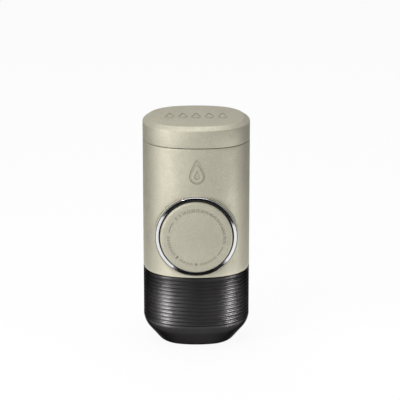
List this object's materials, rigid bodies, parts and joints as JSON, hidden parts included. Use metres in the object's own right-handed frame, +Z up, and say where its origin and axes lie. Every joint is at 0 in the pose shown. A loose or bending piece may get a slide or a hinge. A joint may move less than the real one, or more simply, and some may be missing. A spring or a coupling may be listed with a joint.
{
  "type": "handheld espresso maker",
  "caption": "Upright handheld manual espresso maker for capsules: ribbed water tank, satin body with a round pump button in a chrome bezel, and a bevelled lid.",
  "frame": {"origin": "centre of the water tank's flat base", "axes": "+Z up from the base to the lid, the button faces -Y, +X to the right as seen from the button side"},
  "size_m": [0.062, 0.0647, 0.1328],
  "materials": {
    "satin_shell": "champagne satin metallic paint with a fine grain",
    "tank_plastic": "charcoal satin moulding",
    "chrome_bezel": "bright chrome plate",
    "dark_plastic": "fine-grained black moulding",
    "stainless": "turned and brushed stainless steel",
    "silicone": "matt food-grade silicone"
  },
  "bodies": {
    "main_body": {"body_shell": "satin_shell", "bezel_ring": "chrome_bezel", "tank_socket": "dark_plastic", "tank_gasket": "silicone", "inlet_strainer": "stainless", "vent_valve": "silicone", "chamber_housing": "dark_plastic", "neck_seal": "silicone", "piercing_plate": "stainless", "piercing_pins": "stainless", "injector_seal": "silicone", "frame_screws": "stainless", "guide_sleeve": "dark_plastic", "pump_block": "dark_plastic", "pump_screws": "stainless", "return_spring": "stainless", "inlet_valve_seat": "dark_plastic", "inlet_valve_spring": "stainless", "outlet_valve_seat": "dark_plastic", "outlet_valve_spring": "stainless", "outlet_valve_cap": "dark_plastic"},
    "water_tank_body": {"water_tank": "tank_plastic"},
    "holder_body": {"capsule_holder": "dark_plastic"},
    "head_body": {"outlet_head": "dark_plastic", "spout": "stainless", "outlet_screen": "stainless", "head_seal": "silicone"},
    "lid_body": {"lid_shell": "satin_shell", "lid_liner": "dark_plastic"},
    "piston_body": {"piston_carriage": "dark_plastic", "piston_rod": "stainless", "pivot_screw": "stainless", "piston_head": "dark_plastic", "piston_seal": "silicone", "piston_screw": "stainless"},
    "button_body": {"button_cap": "satin_shell", "lock_ring": "dark_plastic", "cap_screws": "stainless"},
    "inlet_ball_body": {"inlet_valve_ball": "stainless"},
    "outlet_ball_body": {"outlet_valve_ball": "stainless"}
  },
  "joints": [
    {"name": "tank_pull", "type": "slide", "parent": "main_body", "child": "water_tank_body", "axis": [0, 0, -1], "range_m": [0, 0.03]},
    {"name": "holder_lift", "type": "slide", "parent": "main_body", "child": "holder_body", "axis": [0, 0, 1], "range_m": [0, 0.045]},
    {"name": "head_lift", "type": "slide", "parent": "holder_body", "child": "head_body", "axis": [0, 0, 1], "range_m": [0, 0.03]},
    {"name": "lid_lift", "type": "slide", "parent": "head_body", "child": "lid_body", "axis": [0, 0, 1], "range_m": [0, 0.025]},
    {"name": "pump_stroke", "type": "slide", "parent": "main_body", "child": "piston_body", "axis": [0, -1, 0], "range_m": [0, 0.018], "deforming": ["return_spring"]},
    {"name": "button_turn", "type": "hinge", "parent": "piston_body", "child": "button_body", "pos_m": [0, 0, 0.06915], "axis": [0, -1, 0], "range_deg": [0, 40]},
    {"name": "inlet_ball_lift", "type": "slide", "parent": "main_body", "child": "inlet_ball_body", "axis": [0, 0, 1], "range_m": [0, 0.001], "stiffness_N_per_m": 20, "springref_m": -0.001, "deforming": ["inlet_valve_spring"]},
    {"name": "outlet_ball_lift", "type": "slide", "parent": "main_body", "child": "outlet_ball_body", "axis": [0, 0, 1], "range_m": [0, 0.001], "stiffness_N_per_m": 20, "springref_m": -0.001, "deforming": ["outlet_valve_spring"]}
  ]
}
